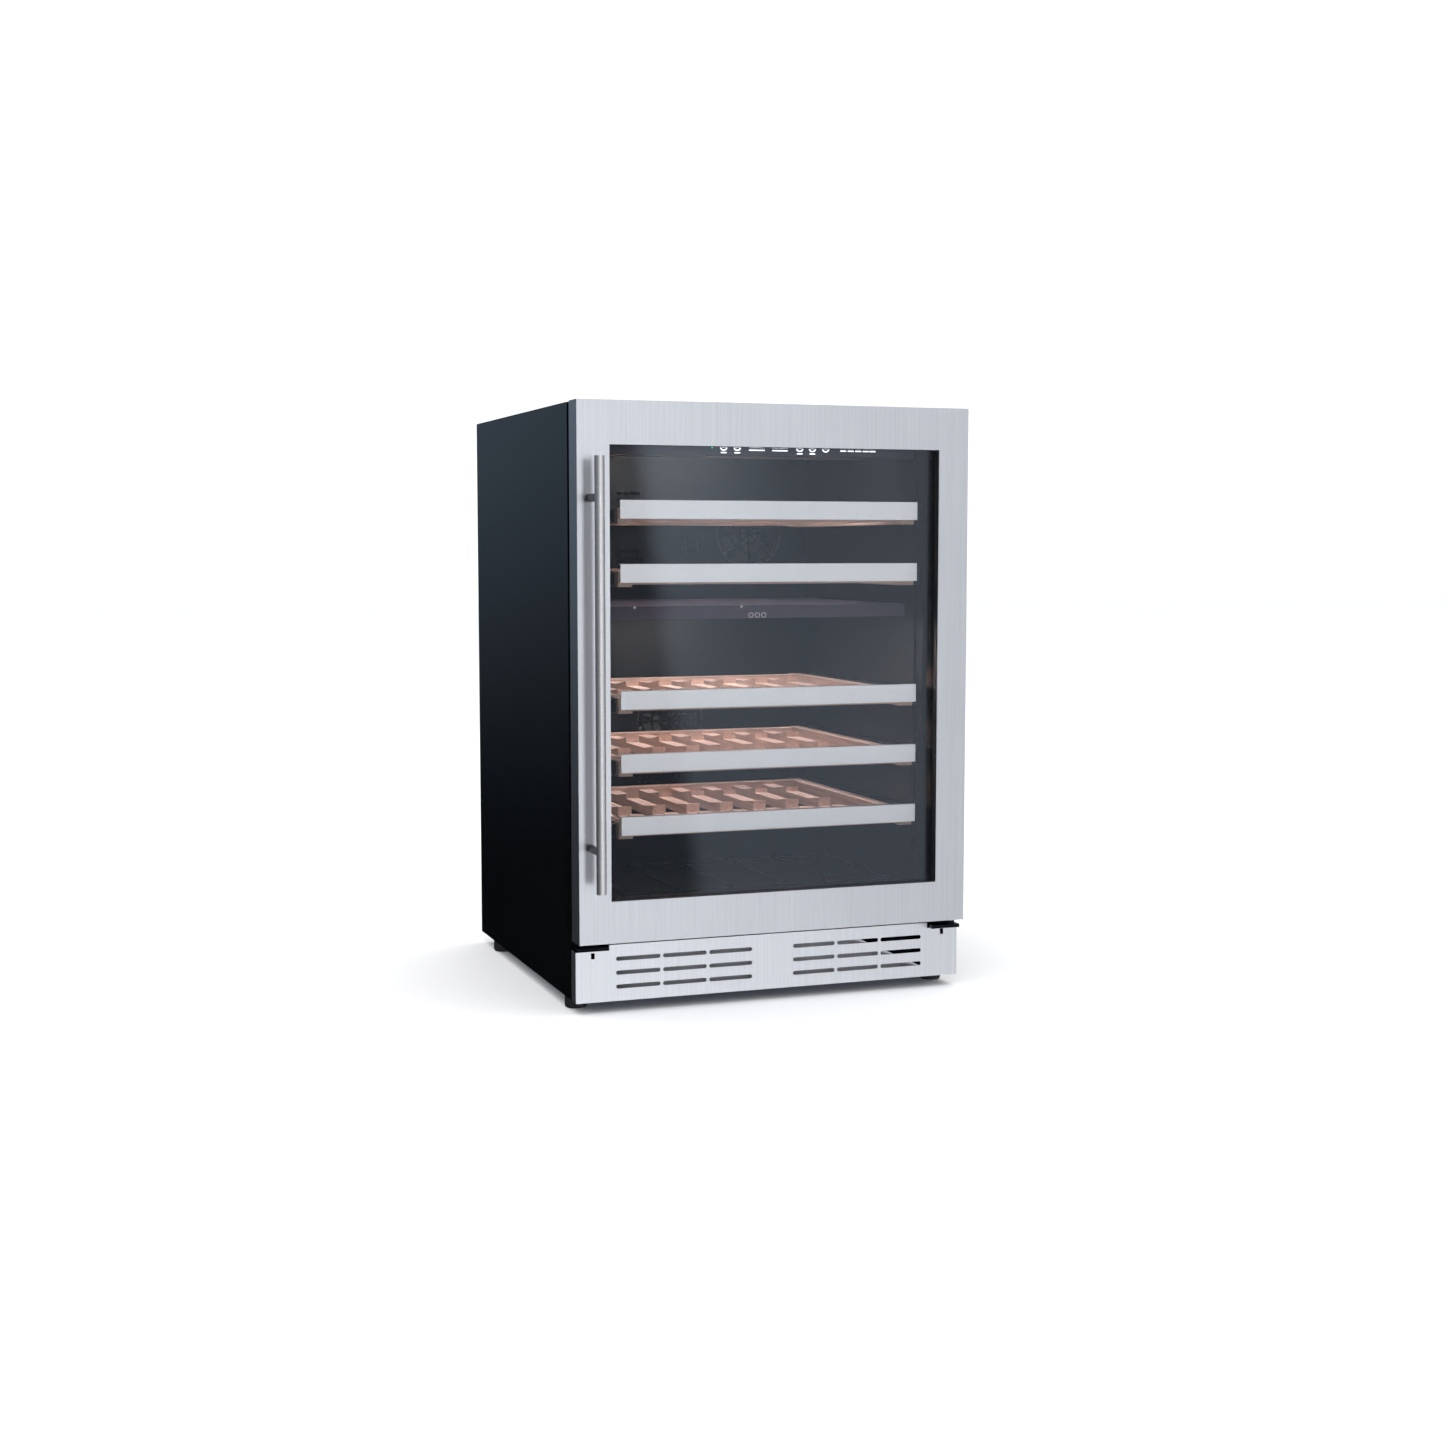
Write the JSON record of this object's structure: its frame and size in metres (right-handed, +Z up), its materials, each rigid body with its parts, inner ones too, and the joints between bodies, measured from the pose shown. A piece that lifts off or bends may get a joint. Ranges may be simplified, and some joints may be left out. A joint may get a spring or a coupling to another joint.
{
  "type": "wine cooler",
  "caption": "Under-counter wine cooler: hinged glass door, pull-out wooden shelves, separate cooled zones, circulation fans, slotted kick grille and levelling feet.",
  "frame": {"origin": "on the floor under the middle of the outline (handle to back panel, side to side)", "axes": "+Z up, the door faces -Y, +X to the right of someone who stands before the door"},
  "size_m": [0.595, 0.654, 0.86],
  "materials": {
    "black_steel": "semi-gloss black coat",
    "grey_steel": "matt zinc-grey coat",
    "stainless": "vertical brushing",
    "handle_steel": "satin, brushed round the bar",
    "slide_steel": "dull zinc",
    "screw_steel": "zinc plated",
    "foam": "rigid foam, cut surface",
    "liner_plastic": "fine texture, dark slate",
    "dark_plastic": "matt black",
    "frame_plastic": "gloss black",
    "panel_plastic": "smoked gloss",
    "lamp_plastic": "milky lens",
    "white_plastic": "light grey",
    "nylon": "natural nylon",
    "glass": "clear, low-e coated",
    "rubber": "soft black",
    "beech": "sanded, unvarnished",
    "fin_aluminium": "mill finish",
    "copper": "bright copper",
    "cast_black": "gloss black enamel"
  },
  "bodies": {
    "cabinet": {"left_side_panel": "black_steel", "right_side_panel": "black_steel", "top_panel": "black_steel", "back_panel": "grey_steel", "machine_cover": "grey_steel", "foam_insulation": "foam", "inner_liner": "liner_plastic", "base_pan": "black_steel", "duct_covers": "liner_plastic", "evaporators": "fin_aluminium", "fan_frames": "dark_plastic", "condenser": "black_steel", "condenser_fan_frame": "dark_plastic", "compressor": "cast_black", "compressor_grommets": "rubber", "drip_tray": "dark_plastic", "refrigerant_pipes": "copper", "control_box": "white_plastic", "mains_gland": "dark_plastic", "zone_divider": "liner_plastic", "control_housing": "liner_plastic", "touch_glass": "panel_plastic", "light_bars": "lamp_plastic", "fixed_slides": "slide_steel", "bottom_rack": "black_steel", "kick_grille": "stainless", "lower_hinge_brackets": "black_steel", "upper_hinge_bracket": "black_steel", "cabinet_screws": "screw_steel"},
    "door": {"door_skin": "stainless", "door_frame": "frame_plastic", "outer_glass": "glass", "glass_spacer": "dark_plastic", "inner_glass": "glass", "door_gasket": "rubber", "handle_bar": "handle_steel", "handle_posts": "handle_steel", "hinge_bushes": "nylon"},
    "shelf_1": {"shelf_1_wood": "beech", "shelf_1_strip": "stainless", "shelf_1_runners": "slide_steel"},
    "shelf_2": {"shelf_2_wood": "beech", "shelf_2_strip": "stainless", "shelf_2_runners": "slide_steel"},
    "shelf_3": {"shelf_3_wood": "beech", "shelf_3_strip": "stainless", "shelf_3_runners": "slide_steel"},
    "shelf_4": {"shelf_4_wood": "beech", "shelf_4_strip": "stainless", "shelf_4_runners": "slide_steel"},
    "shelf_5": {"shelf_5_wood": "beech", "shelf_5_strip": "stainless", "shelf_5_runners": "slide_steel"},
    "upper_fan": {"upper_fan_rotor": "dark_plastic"},
    "lower_fan": {"lower_fan_rotor": "dark_plastic"},
    "condenser_fan": {"condenser_fan_rotor": "dark_plastic"},
    "foot_front_left_body": {"foot_front_left": "dark_plastic"},
    "foot_front_right_body": {"foot_front_right": "dark_plastic"},
    "foot_rear_left_body": {"foot_rear_left": "dark_plastic"},
    "foot_rear_right_body": {"foot_rear_right": "dark_plastic"}
  },
  "joints": [
    {"name": "door_hinge", "type": "hinge", "parent": "cabinet", "child": "door", "pos_m": [0.2835, -0.25, 0.482], "axis": [0, 0, 1], "range_deg": [0, 115]},
    {"name": "shelf_1_slide", "type": "slide", "parent": "cabinet", "child": "shelf_1", "axis": [0, -1, 0], "range_m": [0, 0.32]},
    {"name": "shelf_2_slide", "type": "slide", "parent": "cabinet", "child": "shelf_2", "axis": [0, -1, 0], "range_m": [0, 0.32]},
    {"name": "shelf_3_slide", "type": "slide", "parent": "cabinet", "child": "shelf_3", "axis": [0, -1, 0], "range_m": [0, 0.32]},
    {"name": "shelf_4_slide", "type": "slide", "parent": "cabinet", "child": "shelf_4", "axis": [0, -1, 0], "range_m": [0, 0.32]},
    {"name": "shelf_5_slide", "type": "slide", "parent": "cabinet", "child": "shelf_5", "axis": [0, -1, 0], "range_m": [0, 0.32]},
    {"name": "upper_fan_spin", "type": "hinge", "parent": "cabinet", "child": "upper_fan", "pos_m": [0.141, 0.24, 0.681], "axis": [0, 1, 0], "continuous": true},
    {"name": "lower_fan_spin", "type": "hinge", "parent": "cabinet", "child": "lower_fan", "pos_m": [0.002, 0.24, 0.371], "axis": [0, 1, 0], "continuous": true},
    {"name": "condenser_fan_spin", "type": "hinge", "parent": "cabinet", "child": "condenser_fan", "pos_m": [-0.135, -0.14, 0.066], "axis": [0, 1, 0], "continuous": true},
    {"name": "foot_front_left_turn", "type": "hinge", "parent": "cabinet", "child": "foot_front_left_body", "pos_m": [-0.2813, -0.191, 0], "axis": [0, 0, 1], "continuous": true},
    {"name": "foot_front_right_turn", "type": "hinge", "parent": "cabinet", "child": "foot_front_right_body", "pos_m": [0.2813, -0.191, 0], "axis": [0, 0, 1], "continuous": true},
    {"name": "foot_rear_left_turn", "type": "hinge", "parent": "cabinet", "child": "foot_rear_left_body", "pos_m": [-0.2813, 0.24, 0], "axis": [0, 0, 1], "continuous": true},
    {"name": "foot_rear_right_turn", "type": "hinge", "parent": "cabinet", "child": "foot_rear_right_body", "pos_m": [0.2813, 0.24, 0], "axis": [0, 0, 1], "continuous": true}
  ],
  "couplings": [
    {"joint": "shelf_1_slide", "follows": "door_hinge", "m_per_rad": 0.074},
    {"joint": "shelf_2_slide", "follows": "door_hinge", "m_per_rad": 0.074},
    {"joint": "shelf_3_slide", "follows": "door_hinge", "m_per_rad": 0.074},
    {"joint": "shelf_4_slide", "follows": "door_hinge", "m_per_rad": 0.074},
    {"joint": "shelf_5_slide", "follows": "door_hinge", "m_per_rad": 0.074}
  ]
}
